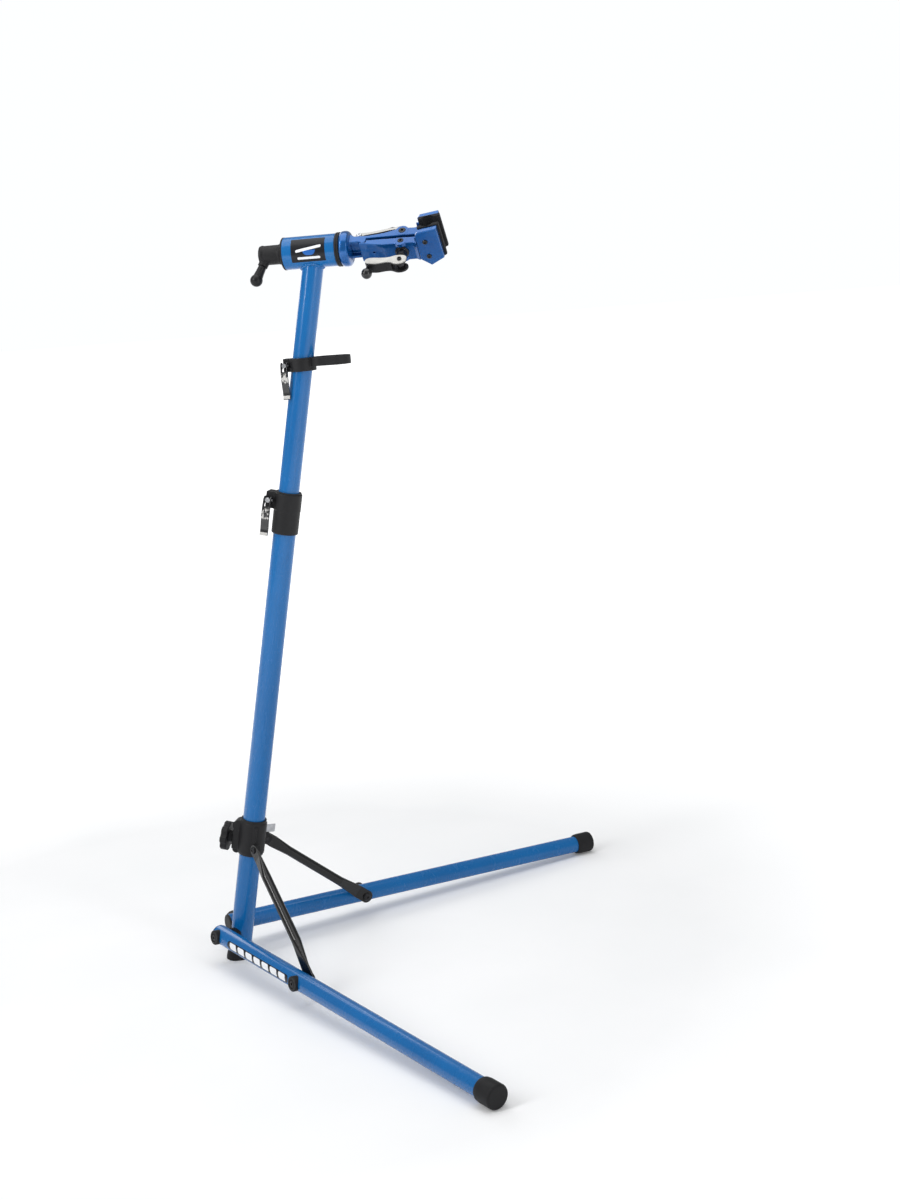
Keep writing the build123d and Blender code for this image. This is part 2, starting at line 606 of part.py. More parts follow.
# x, y outline of the fork cheeks above and below the knuckle
CHEEK = [
    (62, -6), (74, -5.2), (84, -5.0), (88.0, -6.0), (89.6, -8.1),
    (PIVOT_X, PIVOT_Y - KNUCKLE_R), (96.4, -8.1), (98.2, -5.8), (98.6, -3), (98.6, 6),
    (86, 8.8), (76, 9.6), (71, 14), (62, 15)]
neck += top(CHEEK, 13.6, 19.0)
neck += top(CHEEK, -19.0, -13.6)
# x, y outline from above, and x, z outline from the side
FIXED_TOP = [
    (84, FIXED_IN + 1.2), (100, FIXED_IN), (193, FIXED_IN), (193, ARM_OUT + 4.5),
    (186, ARM_OUT), (172, ARM_OUT + 0.6), (160, ARM_OUT + 0.8), (152, 18.8), (142, 15.2),
    (132, 12.3), (118, 10.0), (101, 8.6), (84, 9.2)]
FIXED_SIDE = [
    (84, -16.5), (100, -18.5), (140, -19.5), (193, -19.5), (193, 19.5), (140, 19.5),
    (84, 19.0)]
fixed_arm = top(FIXED_TOP, -19.5, 19.5) & side(FIXED_SIDE, -5, 40)
fixed_arm = add_bosses(fixed_arm, BARREL_Y, FIXED_IN, 40)
fixed_arm += tongue(1)
# boss at the screw
fixed_arm += ycyl(SCREW_X, 0, ARM_OUT - 1, ARM_OUT + 2.5, 11.0)
clamp_body = flange + neck + fixed_arm
clamp_body -= cyl(HEAD, 0, 0, 40, SHAFT_R + 0.02, 24.1)
clamp_body -= zcyl(PIVOT_X, PIVOT_Y, -25, 16.0, PIVOT_R + 0.02)
clamp_body -= zcyl(SCREW_X, BARREL_Y, -25, 25, BARREL_R + RUN)
clamp_body -= ycyl(SCREW_X, 0, -5, 40, 6.0)
save("clamp_body", drill_jaw_screws(largest(clamp_body)))

save("jaw_pivot_pin", zcyl(PIVOT_X, PIVOT_Y, -19.4, 15.8, PIVOT_R))

# trunnion in the fixed arm: socket-ended barrel bored for the screw
trunnion = zcyl(SCREW_X, BARREL_Y, -19.9, 20.5, BARREL_R)
trunnion -= ycyl(SCREW_X, 0, -5, 40, SCREW_R + RUN)
trunnion -= hexagon(CLAMP, SCREW_X, BARREL_Y, 17.8, 2.9, 5)
save("fixed_trunnion", trunnion)

# hand grip on the outside of the fixed arm, plate on its top, one bolt at the rear
GRIP_BOLT_X, GRIP_BOLT_Y, GRIP_BOLT_R = 84.5, 14.2, 2.5
grip_outline = [
    (77.5, 14.0), (79, 11.4), (84, 10.0), (101, 9.1), (118, 10.7), (132, 13.0),
    (142, 15.9), (150, 19.0), (152, 24.0), (149, 30.0), (143, 31.5), (132, 28.0),
    (118, 23.0), (101, 20.2), (86, 20.0), (79.5, 18.0)]
grip = top(grip_outline, -9, 14.1)
save("fixed_grip", grip - zcyl(GRIP_BOLT_X, GRIP_BOLT_Y, -30, 30, GRIP_BOLT_R + RUN))

plate_outline = [
    (77.6, 14.2), (79.6, 11.2), (84.5, 10.1), (92, 12.2), (101, 14.0), (118, 16.6),
    (132, 19.4), (148, 21.8), (160, 21.6), (165.5, 23.6), (163, 27.2), (150, 27.6),
    (132, 25.2), (118, 22.4), (101, 19.8), (90, 19.6), (82, 19.2)]
grip_plate = blob(plate_outline, 14.2, 16.4)
grip_plate -= zcyl(GRIP_BOLT_X, GRIP_BOLT_Y, 0, 30, GRIP_BOLT_R + RUN)
grip_plate -= zcyl(SCREW_X, BARREL_Y, 0, 30, 11.9)
save("fixed_grip_plate", largest(grip_plate))

save("fixed_grip_bolt",
     zcyl(GRIP_BOLT_X, GRIP_BOLT_Y, -8.0, 16.45, GRIP_BOLT_R)
     + bolt_head(CLAMP, GRIP_BOLT_X, GRIP_BOLT_Y, 16.42, 4.6, 2.8, socket_r=1.8))


# jaws, pads and their screws; outlines are x, z, with a chevron at the bottom
def jaw(sign):
    """Plate outside the tongue, with cheeks that reach inward past it to the pad."""
    plate = [(193.6, -17), (211, -32), (236, -17), (233.5, 49.5), (198.5, 43.5), (193.6, 38)]
    cheeks = [
        [(228.0, -19.5), (236, -17), (233.5, 49.5), (226.2, 48)],
        [(195.6, 30.6), (226.6, 30.6), (226.6, 48), (198.5, 43.5)],
        [(200.5, -22.5), (211, -32), (228, -21.8), (228, -17.6), (200.5, -17.6)]]
    block = side(plate, *span(sign, TONGUE_OUT + 0.05, JAW_OUT))
    for cheek in cheeks:
        block += side(cheek, *span(sign, 14.5, 20.2))
    block = drill_jaw_screws(block)
    outer_edges = [e for e in block.edges()
                   if abs(abs((e.center() - CLAMP.origin).dot(CLAMP.y_dir)) - JAW_OUT) < 0.01]
    return soft(block, outer_edges, 1.2)


def jaw_pad(sign):
    """Pad with a step that fits inside the jaw's cheeks, hollowed to the held post."""
    face = [(194, -21), (211, -35), (239.5, -19), (237.0, 52), (198, 46)]
    step = [(196.4, -17.0), (225.6, -17.0), (225.6, 29.8), (196.4, 29.8)]
    pad = side(face, *span(sign, 8.0, 14.4))
    pad += side(step, *span(sign, 14.3, 16.9))
    pad -= zcyl(POST_X, 0, -80, 90, POST_R)
    return largest(drill_jaw_screws(pad, *span(sign, 0, 60)))


def jaw_screw(x, z, sign):
    head = bolt_head(across(x, sign * (JAW_OUT + 0.02), z, sign), 0, 0, 0, 4.6, 2.8,
                     socket_r=1.7)
    return ycyl(x, z, *span(sign, 15.0, JAW_OUT + 0.05), JAW_SCREW_R) + head


for arm_name, sign in (("fixed", 1), ("moving", -1)):
    save(f"{arm_name}_jaw", jaw(sign))
    save(f"{arm_name}_jaw_pad", jaw_pad(sign))
    save(f"{arm_name}_jaw_screws", *[jaw_screw(x, z, sign) for x, z in JAW_SCREWS])

# swinging arm: x, y outline from above, and x, z outline from the side
MOVING_TOP = [
    (86.6, -9.6), (99.6, -9.6), (99.6, -ARM_IN), (193, -ARM_IN), (193, -ARM_OUT - 4.5),
    (186, -ARM_OUT), (132, -ARM_OUT), (118, -17.4), (101, -14.0), (86.6, -12.2)]
MOVING_SIDE = [
    (86.6, -21.0), (89.5, -24.0), (100, -23.6), (120, -21.0), (145, -19.7), (193, -19.5),
    (193, 19.5), (140, 19.7), (100, 20.2), (88.5, 20.2), (86.6, 18.4)]
KNUCKLE_Z = 13.3
knuckle_web = [(PIVOT_X, PIVOT_Y - KNUCKLE_R), (PIVOT_X, -9.8), (101, -12), (101, -ARM_IN),
               (97.5, 0)]
moving_arm = top(MOVING_TOP, -30, 30) & side(MOVING_SIDE, -40, 0)
moving_arm += (zcyl(PIVOT_X, PIVOT_Y, -KNUCKLE_Z, KNUCKLE_Z, KNUCKLE_R)
               + top(knuckle_web, -KNUCKLE_Z, KNUCKLE_Z))
moving_arm = add_bosses(moving_arm, STUB_Y, -40, -ARM_IN)
moving_arm += tongue(-1)
moving_arm -= zcyl(PIVOT_X, PIVOT_Y, -25, 25, PIVOT_R + RUN)
# slot for the screw, bores for the trunnion pins, small hole near the hinge
moving_arm -= box(CLAMP, SCREW_X - 8, SCREW_X + 8, -30, 0, -5.2, 5.2)
moving_arm -= (zcyl(SCREW_X, STUB_Y, -25, -8.6, STUB_R + 0.02)
               + zcyl(SCREW_X, STUB_Y, 8.6, 25, STUB_R + 0.02))
moving_arm -= ycyl(112, 0, -25, -12, 2.4)
save("moving_arm", largest(drill_jaw_screws(moving_arm)))

upper_stub = zcyl(SCREW_X, STUB_Y, 8.7, 20.5, STUB_R)
upper_stub -= hexagon(CLAMP, SCREW_X, STUB_Y, 17.8, 2.6, 5)
save("moving_trunnion_pins", upper_stub, zcyl(SCREW_X, STUB_Y, -19.9, -8.7, STUB_R))

# clamp screw: near end in the cam hub, reduced far end out past the fixed arm
screw = ycyl(SCREW_X, 0, -20.5, 41.0, SCREW_R)
screw = screw - ycyl(SCREW_X, 0, 39.0, 42.0, 8) + ycyl(SCREW_X, 0, 38.9, 40.6, 3.2)
save("clamp_screw", screw)

# cam hub on the outside of the swinging arm, on the screw line
CAM_Y, CAM_PIN_R = -49.0, 4.0
hub = ycyl(SCREW_X, 0, -22.4, -ARM_OUT - 0.1, 12.5)
hub += ycyl(SCREW_X, 0, -34.4, -22.0, 9.5)
hub += box(CLAMP, SCREW_X - 6.5, SCREW_X + 6.5, CAM_Y, -33.0, -6.4, 6.4)
hub += zcyl(SCREW_X, CAM_Y, -6.4, 6.4, 6.5)
hub -= ycyl(SCREW_X, 0, -25.5, -ARM_OUT + 1, 6.8)
hub -= zcyl(SCREW_X, CAM_Y, -20, 20, CAM_PIN_R + RUN)
save("cam_hub", hub)

cam_pin = zcyl(SCREW_X, CAM_Y, -11.4, 12.6, CAM_PIN_R)
save("cam_pin", cam_pin - hexagon(CLAMP, SCREW_X, CAM_Y, 10.2, 2.3, 5))

# cam lever: flat plate on top of a moulded grip, both on the cam pin; x, y outline
CAM_LEVER = [
    (174.5, -44.0), (175.8, -50.0), (173.0, -56.0), (166.0, -60.0), (155.0, -59.5),
    (147.0, -55.5), (136.0, -54.4), (124.0, -56.2), (112.0, -55.6), (104.0, -52.8),
    (100.6, -48.0), (102.5, -43.4), (108.0, -41.2), (120.0, -41.6), (134.0, -43.0),
    (146.0, -42.2), (155.0, -39.6), (166.0, -39.6)]
BALL_X, BALL_Z, BALL_STEM_R = 104, -1.0, 3.0
cam_pin_bore = zcyl(SCREW_X, CAM_Y, -30, 30, CAM_PIN_R + RUN)
save("cam_lever_plate", blob(CAM_LEVER, 8.6, 10.8) - cam_pin_bore)

cam_grip = blob([(x, y - 0.8) for x, y in CAM_LEVER], -10.6, 8.55)
cam_grip -= cam_pin_bore
# fork: the middle of the grip is open round the hub
cam_grip -= zcyl(SCREW_X, CAM_Y, -6.6, 6.6, 16.5)
cam_grip = largest(cam_grip)
cam_grip -= ycyl(BALL_X, BALL_Z, -60, -47.5, BALL_STEM_R + RUN)
save("cam_lever_grip", cam_grip)

# ball knob on the outside of the lever's rear end
BALL = across(BALL_X, -58.6, BALL_Z)
ball = BALL * Pos(0, 0, 8.9) * Sphere(9.6)
ball += cyl(BALL, 0, 0, 0, 5.2, 4)
ball -= box(BALL, -12, 12, -12, 12, -12, 0)
ball += ycyl(BALL_X, BALL_Z, -60.0, -47.6, BALL_STEM_R)
save("ball_knob", ball)

# ===========================================================================
# Lock knob and lever at the rear of the clamp shaft
# ===========================================================================
LOCK_TURN = 28                      # lever from straight down toward the near side, degrees
LOCK_STEM_R = 4.0
lock_dir = Vector(0, -sin(radians(LOCK_TURN)), -cos(radians(LOCK_TURN)))
lock_root = head_centre + Vector(-93.0, 0, 0) + lock_dir * 14.0
lock_tip = head_centre + Vector(-106.0, 0, 0) + lock_dir * 48.0
lock_len = (lock_tip - lock_root).length
LOCK = frame(lock_root, (0, lock_dir.Z, -lock_dir.Y), (lock_tip - lock_root).normalized())

lock_knob = spin(HEAD, [
    (shaft_bore, -57.6), (15.5, -57.6), (18.2, -59.5), (18.2, -64), (17.4, -66),
    (17.2, -92), (18.0, -96), (16.8, -100.2), (13.0, -101.6), (0, -101.6), (0, -94.2),
    (shaft_bore, -94.2)])
lock_knob += cyl(LOCK, 0, 0, -9, 9.0, 17.4) - cyl(HEAD, 0, 0, -94.2, shaft_bore, 40)
lock_knob -= cyl(LOCK, 0, 0, -2, LOCK_STEM_R + RUN, 60)
save("lock_knob", lock_knob)

lock_lever = cyl(LOCK, 0, 0, -1.8, LOCK_STEM_R, 14)
lock_grip = spin(LOCK, [
    (0, 8.7), (7.2, 8.7), (7.6, 14), (8.0, 22), (8.8, lock_len - 8), (0, lock_len - 8)])
lock_lever += lock_grip + LOCK * Pos(0, 0, lock_len) * Sphere(11.2)
save("lock_lever", lock_lever)
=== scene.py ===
"""A folding stand with a jaw clamp: meshes, materials, floor, lights and camera.

+Z is up and the floor is z = 0. The near side faces -Y, and the head tube that carries
the clamp lies along X. All lengths are in metres.
"""
import bpy
import bmesh
import json
import math
import random
from mathutils import Vector, Matrix


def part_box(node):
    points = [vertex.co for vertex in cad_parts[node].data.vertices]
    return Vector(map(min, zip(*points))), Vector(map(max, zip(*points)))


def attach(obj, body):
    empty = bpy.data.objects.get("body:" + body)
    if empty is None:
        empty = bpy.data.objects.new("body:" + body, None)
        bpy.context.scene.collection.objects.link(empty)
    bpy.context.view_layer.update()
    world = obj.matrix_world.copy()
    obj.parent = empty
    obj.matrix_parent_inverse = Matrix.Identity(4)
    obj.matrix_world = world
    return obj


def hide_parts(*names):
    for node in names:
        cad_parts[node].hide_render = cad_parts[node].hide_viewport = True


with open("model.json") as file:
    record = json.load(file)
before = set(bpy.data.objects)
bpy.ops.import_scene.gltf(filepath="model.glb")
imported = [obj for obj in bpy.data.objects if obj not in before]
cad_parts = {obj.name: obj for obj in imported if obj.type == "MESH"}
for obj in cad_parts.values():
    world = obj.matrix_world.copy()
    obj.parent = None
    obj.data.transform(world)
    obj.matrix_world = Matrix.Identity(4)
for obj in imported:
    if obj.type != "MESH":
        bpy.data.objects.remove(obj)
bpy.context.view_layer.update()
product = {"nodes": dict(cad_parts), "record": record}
nodes = product["nodes"]
behaviour = product["record"]["behaviour"]
subparts = product["record"]["subparts"]
joints = {joint["name"]: joint for joint in behaviour["joints"]}
SLOT = {part["node"]: part["material_slot"] for part in subparts}
BODY = {node: body for body, members in behaviour["bodies"].items() for node in members}
random.seed(7)
scene = bpy.context.scene

# ---------------------------------------------------------------------------
# frames taken from the record
# ---------------------------------------------------------------------------


def frame_at(origin, x_hint, z_axis):
    """Frame with z along z_axis and x as near x_hint as it can be."""
    z = Vector(z_axis).normalized()
    x = Vector(x_hint)
    x = (x - z * x.dot(z)).normalized()
    matrix = Matrix((x, z.cross(x), z)).transposed().to_4x4()
    matrix.translation = Vector(origin)
    return matrix


def joint_axis(name):
    return Vector(joints[name]["axis"]).normalized()


def joint_place(name):
    return Vector(joints[name]["pos_m"])


def side_frame(pivot, node):
    """Frame at a near-side pivot: x toward the node's centre, z along the leg's fold axis."""
    low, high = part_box(node)
    return frame_at(pivot, (low + high) / 2 - pivot, joint_axis("near_leg_fold"))


MAST_AXIS = joint_axis("mast_height")
HEAD_POINT = joint_place("clamp_turn")
WORLD = Matrix.Identity(4)
UPRIGHT = frame_at((0, 0, 0), (1, 0, 0), MAST_AXIS)
CLAMP = frame_at(HEAD_POINT, (1, 0, 0), joint_axis("cam_lever_flip"))
HEAD = frame_at(HEAD_POINT, (0, 1, 0), (1, 0, 0))
LEG = side_frame(joint_place("near_leg_fold"), "near_leg_cap")
BRACE = side_frame(joint_place("near_brace_swing"), "near_brace")
MIRROR = Matrix.Scale(-1, 4, (0, 1, 0))
FAR_BRACE = MIRROR @ BRACE @ MIRROR

# ---------------------------------------------------------------------------
# shader helpers
# ---------------------------------------------------------------------------

MATERIALS = {}


class Shader:
    """A principled material, with short ways to make the nodes that drive it."""

    def __init__(self, name):
        self.material = bpy.data.materials.new(name)
        self.material.use_nodes = True
        self.tree = self.material.node_tree
        self.tree.nodes.clear()
        output = self.node("OutputMaterial")
        self.surface = self.node("BsdfPrincipled")
        self.tree.links.new(self.surface.outputs[0], output.inputs[0])
        self.point = self.node("TexCoord").outputs["Object"]
        MATERIALS[name] = self.material

    def put(self, socket, value):
        """Link a socket, or set a constant; None leaves the default."""
        if isinstance(value, bpy.types.NodeSocket):
            self.tree.links.new(value, socket)
        elif value is not None:
            if isinstance(value, tuple) and len(value) == 3 and socket.type == "RGBA":
                value = (*value, 1.0)
            socket.default_value = value

    def node(self, kind, inputs=None, **settings):
        made = self.tree.nodes.new("ShaderNode" + kind)
        for key, value in settings.items():
            setattr(made, key, value)
        for key, value in (inputs or {}).items():
            self.put(made.inputs[key], value)
        return made

    def set(self, **values):
        for key, value in values.items():
            self.put(self.surface.inputs[key.replace("_", " ")], value)

    def math(self, operation, a, b=None):
        return self.node("Math", {0: a, 1: b}, operation=operation).outputs[0]

    def mul(self, a, b):
        return self.math("MULTIPLY", a, b)

    def add(self, a, b):
        return self.math("ADD", a, b)

    def sub(self, a, b):
        return self.math("SUBTRACT", a, b)

    def vec(self, operation, a, b=None):
        made = self.node("VectorMath", {0: a, 1: b}, operation=operation)
        scalar = operation in ("DOT_PRODUCT", "LENGTH", "DISTANCE")
        return made.outputs["Value" if scalar else 0]

    def along(self, axis, origin):
        """Distance of the point from origin along axis."""
        offset = self.vec("SUBTRACT", self.point, tuple(origin))
        return self.vec("DOT_PRODUCT", offset, tuple(axis))

    def coord(self, frame, index):
        """One coordinate of the point in a frame."""
        return self.along(frame.col[index].to_3d(), frame.translation)

    def stretch(self, frame, scales):
        """The point in a frame, scaled per axis, for brushed or drawn marks."""
        coords = {i: self.mul(self.coord(frame, i), scales[i]) for i in range(3)}
        return self.node("CombineXYZ", coords).outputs[0]

    def noise(self, scale=1.0, detail=3.0, rough=0.5, vec=None, distortion=0.0):
        return self.node("TexNoise", {
            "Scale": scale, "Detail": detail, "Roughness": rough, "Distortion": distortion,
            "Vector": vec or self.point}).outputs[0]

    def cells(self, scale):
        return self.node("TexVoronoi", {"Scale": scale, "Vector": self.point}).outputs["Distance"]

    def remap(self, value, start, end, low=0.0, high=1.0):
        """Clamped ramp from low at start to high at end."""
        ends = {0: value, 1: start, 2: end, 3: low, 4: high}
        return self.node("MapRange", ends, clamp=True).outputs[0]

    def fade(self, value, start, end):
        return self.remap(value, start, end, low=1.0, high=0.0)

    def patches(self, start, end, **noise):
        """Mask of the places where a noise is high."""
        return self.remap(self.noise(**noise), start, end)

    def vary(self, base, noise, amount):
        """A value that swings about base with a noise."""
        return self.add(base, self.mul(self.sub(noise, 0.5), amount))

    def mix(self, factor, a, b):
        return self.node("Mix", {0: factor, 6: a, 7: b}, data_type="RGBA").outputs[2]

    def tint(self, colour, mask, amount, other):
        """Colour moved toward other by amount where the mask is 1."""
        return self.mix(self.mul(mask, amount), colour, other)

    def edge(self, radius=0.0009, start=0.01, end=0.16):
        """1 along convex and concave edges, 0 on open surface."""
        bevel = self.node("Bevel", {"Radius": radius}, samples=4).outputs[0]
        normal = self.node("NewGeometry").outputs["Normal"]
        return self.remap(self.sub(1.0, self.vec("DOT_PRODUCT", bevel, normal)), start, end)

    def bump(self, height, strength, distance, normal=None):
        return self.node("Bump", {"Strength": strength, "Distance": distance,
                                  "Height": height, "Normal": normal}).outputs[0]

    def rounded(self, u, v, centre, half, radius):
        """Mask of a rounded rectangle, from its centre, half sizes and corner radius."""
        softness = 0.0002
        over = [self.math("MAXIMUM",
                          self.sub(self.math("ABSOLUTE", self.sub(value, middle)), size - radius),
                          0.0)
                for value, middle, size in zip((u, v), centre, half)]
        squares = [self.mul(value, value) for value in over]
        distance = self.math("SQRT", self.add(*squares))
        return self.fade(distance, start=radius - softness, end=radius + softness)


def scaled(colour, factor, lift=0.0):
    return tuple(min(1.0, c * factor + lift) for c in colour)

# ---------------------------------------------------------------------------
# kinds of finish
# ---------------------------------------------------------------------------


def paint(name, base, deep, metal=0.0, rough=0.26, coat=0.32, wear=(0.30, 0.42, 0.58),
          wear_amount=0.25, frame=UPRIGHT):
    """Coated paint with flecks, chipped edges and handling marks along the frame's z."""
    mat = Shader(name)
    col = mat.mix(mat.patches(start=0.35, end=0.68, scale=5.0, rough=0.6), base, deep)
    flecks = mat.patches(start=0.45, end=0.8, scale=2600.0, detail=2.0, rough=0.6)
    col = mat.tint(col, flecks, amount=0.08 + 0.22 * metal,
                   other=scaled(base, factor=1.5, lift=0.004))
    rub = mat.patches(start=0.56, end=0.78, detail=5.0, rough=0.62, distortion=0.4,
                      vec=mat.stretch(frame, scales=(70.0, 70.0, 16.0)))
    chips = mat.mul(mat.edge(radius=0.0008),
                    mat.patches(start=0.50, end=0.66, scale=160.0, detail=4.0, rough=0.7))
    col = mat.tint(col, chips, wear_amount, wear)
    hairlines = mat.patches(start=0.6, end=0.8, detail=2.0,
                            vec=mat.stretch(frame, scales=(900.0, 900.0, 60.0)))
    # how much each mark adds to the roughness
    for mark, amount in ((rub, 0.10), (hairlines, 0.08), (chips, 0.2)):
        rough = mat.add(rough, mat.mul(mark, amount))
    normal = mat.bump(mat.noise(scale=620.0, detail=2.0, rough=0.45),
                      strength=0.12, distance=0.00025)
    normal = mat.bump(mat.noise(scale=90.0, detail=2.0),
                      strength=0.05, distance=0.0006, normal=normal)
    coat_base, coat_rub = 0.05, 0.10  # roughness of the coat, and what rubbing adds
    mat.set(Base_Color=col, Metallic=metal, Roughness=rough, Normal=normal,
            Specular_IOR_Level=0.28, Coat_Weight=coat, Coat_IOR=1.5,
            Coat_Roughness=mat.add(coat_base, mat.mul(rub, coat_rub)))


def plastic(name, base, light, rough=0.48, grain=1500.0, depth=0.00010, coat=0.0, dust=0.06):
    """Grained moulding with paler edges, partly wear and partly painted sheen, and specks of
    dust.
    """
    mat = Shader(name)
    cloud = mat.noise(scale=22.0, detail=4.0, rough=0.6)
    col = mat.mix(mat.remap(cloud, start=0.3, end=0.75), base, scaled(base, factor=1.35))
    worn_edge_and_sheen = mat.mul(mat.edge(),
                   mat.patches(start=0.35, end=0.62, scale=120.0, detail=4.0, rough=0.65))
    # paler edges: part real wear, part painted sheen
    col = mat.tint(col, worn_edge_and_sheen, amount=0.45, other=light)
    specks = mat.patches(start=0.62, end=0.78, scale=900.0, rough=0.7)
    col = mat.tint(col, specks, dust, other=(0.35, 0.35, 0.35))
    # heights of the cells and of the finer noise, whose scale follows the grain
    cell_height, fine_height, fine_scale = 0.6, 0.7, 0.45
    height = mat.add(mat.mul(mat.cells(grain), cell_height),
                     mat.mul(mat.noise(scale=grain * fine_scale, rough=0.6), fine_height))
    normal = mat.bump(height, strength=0.35, distance=depth)
    normal = mat.bump(mat.noise(scale=45.0, detail=2.0),
                      strength=0.10, distance=0.0008, normal=normal)
    # roughness added by the clouding and taken off along the paler edges (wear and painted sheen)
    for mark, amount in ((mat.remap(cloud, start=0.4, end=0.7), 0.10), (worn_edge_and_sheen, -0.12)):
        rough = mat.add(rough, mat.mul(mark, amount))
    mat.set(Base_Color=col, Roughness=rough, Normal=normal, Specular_IOR_Level=0.26,
            Coat_Weight=coat, Coat_Roughness=0.12)


def rubber(name, base, rough, grain=1100.0):
    """Matt rubber with grey scuffs near its edges."""
    mat = Shader(name)
    cloud = mat.noise(scale=30.0, detail=4.0, rough=0.65)
    col = mat.mix(mat.remap(cloud, start=0.35, end=0.7), base, scaled(base, factor=1.7))
    scuffs = mat.mul(mat.patches(start=0.56, end=0.72, scale=240.0, detail=5.0, rough=0.75),
                     mat.edge(radius=0.0022, end=0.3))
    col = mat.tint(col, scuffs, amount=0.5, other=(0.20, 0.195, 0.19))
    # heights of the noise and of the cells, whose scale follows the grain
    noise_height, cell_height, cell_scale = 0.8, 0.35, 1.3
    height = mat.add(mat.mul(mat.noise(scale=grain, rough=0.65), noise_height),
                     mat.mul(mat.cells(grain * cell_scale), cell_height))
    mat.set(Base_Color=col, Roughness=mat.vary(rough, cloud, amount=0.25),
            Normal=mat.bump(height, strength=0.4, distance=0.00014), Specular_IOR_Level=0.22)


def steel(name, base, dark, rough, metal=1.0, spots=0.25, frame=UPRIGHT,
          brush=(60.0, 60.0, 1800.0)):
    """Brushed metal with dark pits and brighter edges; brush scales noise per frame axis."""
    mat = Shader(name)
    brushed = mat.noise(detail=4.0, rough=0.6, vec=mat.stretch(frame, brush))
    clouds = mat.patches(start=0.35, end=0.7, scale=70.0, detail=4.0, rough=0.6)
    col = mat.mix(clouds, base, dark)
    pits = mat.patches(start=0.63, end=0.74, scale=520.0, rough=0.7)
    col = mat.tint(col, pits, spots, other=scaled(dark, factor=0.35))
    col = mat.tint(col, mat.edge(radius=0.0006), amount=0.35,
                   other=scaled(base, factor=1.35, lift=0.08))
    pit_rough = 0.15  # roughness the pits add
    rough = mat.add(mat.vary(rough, brushed, amount=0.30), mat.mul(pits, pit_rough))
    mat.set(Base_Color=col, Metallic=metal, Roughness=rough,
            Normal=mat.bump(brushed, strength=0.16, distance=0.00006))


def film(mat, col):
    """Finish a printed label: fine grain, faint scratches and a thin coat."""
    grain = mat.noise(scale=1300.0, detail=2.0, rough=0.6)
    scratches = mat.patches(start=0.66, end=0.74, rough=0.6,
                            vec=mat.stretch(UPRIGHT, scales=(40.0, 900.0, 900.0)))
    col = mat.tint(col, scratches, amount=0.18, other=(0.32, 0.33, 0.35))
    mat.set(Base_Color=col, Roughness=mat.vary(0.32, grain, amount=0.2),
            Normal=mat.bump(grain, strength=0.08, distance=0.00006),
            Coat_Weight=0.12, Coat_Roughness=0.12, Specular_IOR_Level=0.22)

# ---------------------------------------------------------------------------
# the product's materials
# ---------------------------------------------------------------------------


BLUE = (0.002, 0.130, 0.385)
LEVER_UPS = {"height_lever": MAST_AXIS, "accessory_lever": Vector((0, 0, 1))}


def lever_black():
    """Black, with a bright pad by each lever's tip and painted highlight stripes up its outer
    face.
    """
    accessory_extra = 0.0125   # length allowed beyond the accessory lever's CAD piece
    tip_inset = 0.001
    highlight_rise = (0.42, 0.46)  # where the painted highlight starts and ends, as parts of the length
    highlight_fade = (0.66, 0.72)
    outward = (-0.25, -0.97, 0.0)
    mat = Shader("lever_black")
    col = mat.mix(mat.patches(start=0.3, end=0.7, scale=40.0, detail=4.0, rough=0.6),
                  (0.010, 0.010, 0.011), (0.020, 0.020, 0.022))
    for node, up in LEVER_UPS.items():
        low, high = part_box(node)
        middle = (low + high) / 2
        length = high.z - low.z + (accessory_extra if node == "accessory_lever" else 0.0)
        tip = Vector((middle.x, middle.y, high.z)) - up * (length - tip_inset)
        height = mat.along(up, tip)
        near = mat.fade(mat.vec("DISTANCE", mat.point, tuple(middle)), start=0.075, end=0.08)
        pad = mat.mul(near, mat.mul(mat.fade(height, start=0.0070, end=0.0076),
                                    mat.remap(height, start=0.0012, end=0.0016)))
        # painted highlight: pale stripes up the outer face, mottled by a stretched noise
        highlight_span = mat.mul(mat.remap(height, *(part * length for part in highlight_rise)),
                       mat.fade(height, *(part * length for part in highlight_fade)))
        highlight_breakup = mat.patches(start=0.50, end=0.56, rough=0.55,
                             vec=mat.stretch(UPRIGHT, scales=(260.0, 260.0, 120.0)))
        painted_highlight = mat.mul(mat.mul(near, highlight_span), highlight_breakup)
        normal = mat.node("NewGeometry").outputs["Normal"]
        face = mat.remap(mat.vec("DOT_PRODUCT", normal, outward), start=0.35, end=0.6)
        pad_and_highlight = mat.mul(face, mat.math("MAXIMUM", pad, painted_highlight))
        # the pale tip pad is the lever's own colour; the stripes are painted highlight
        col = mat.mix(pad_and_highlight, col, (0.55, 0.54, 0.52))
    grain = mat.noise(scale=900.0, rough=0.6)
    mat.set(Base_Color=col, Roughness=mat.vary(0.24, grain, amount=0.2),
            Normal=mat.bump(grain, strength=0.2, distance=0.0001),
            Specular_IOR_Level=0.5, Coat_Weight=0.3, Coat_Roughness=0.1)


def leg_label():
    """A row of slanted white blocks on a dark rounded band along the leg."""
    middle = 0.151  # along the leg from its pivot
    count, pitch = 7, 0.0290
    slant = 0.32
    mat = Shader("white_label")
    x, y = mat.coord(LEG, 0), mat.coord(LEG, 1)
    band = mat.rounded(x, y, centre=(middle, 0.0), half=(0.108, 0.0078), radius=0.0070)
    col = (0.006, 0.007, 0.010)
    slanted = mat.add(x, mat.mul(y, slant))
    for i in range(count):
        place = middle + (i - count // 2) * pitch
        block = mat.rounded(slanted, y, centre=(place, 0.0), half=(0.0112, 0.0062),
                            radius=0.0030)
        col = mat.mix(block, col, (0.84, 0.86, 0.89))
    film(mat, mat.mix(band, BLUE, col))


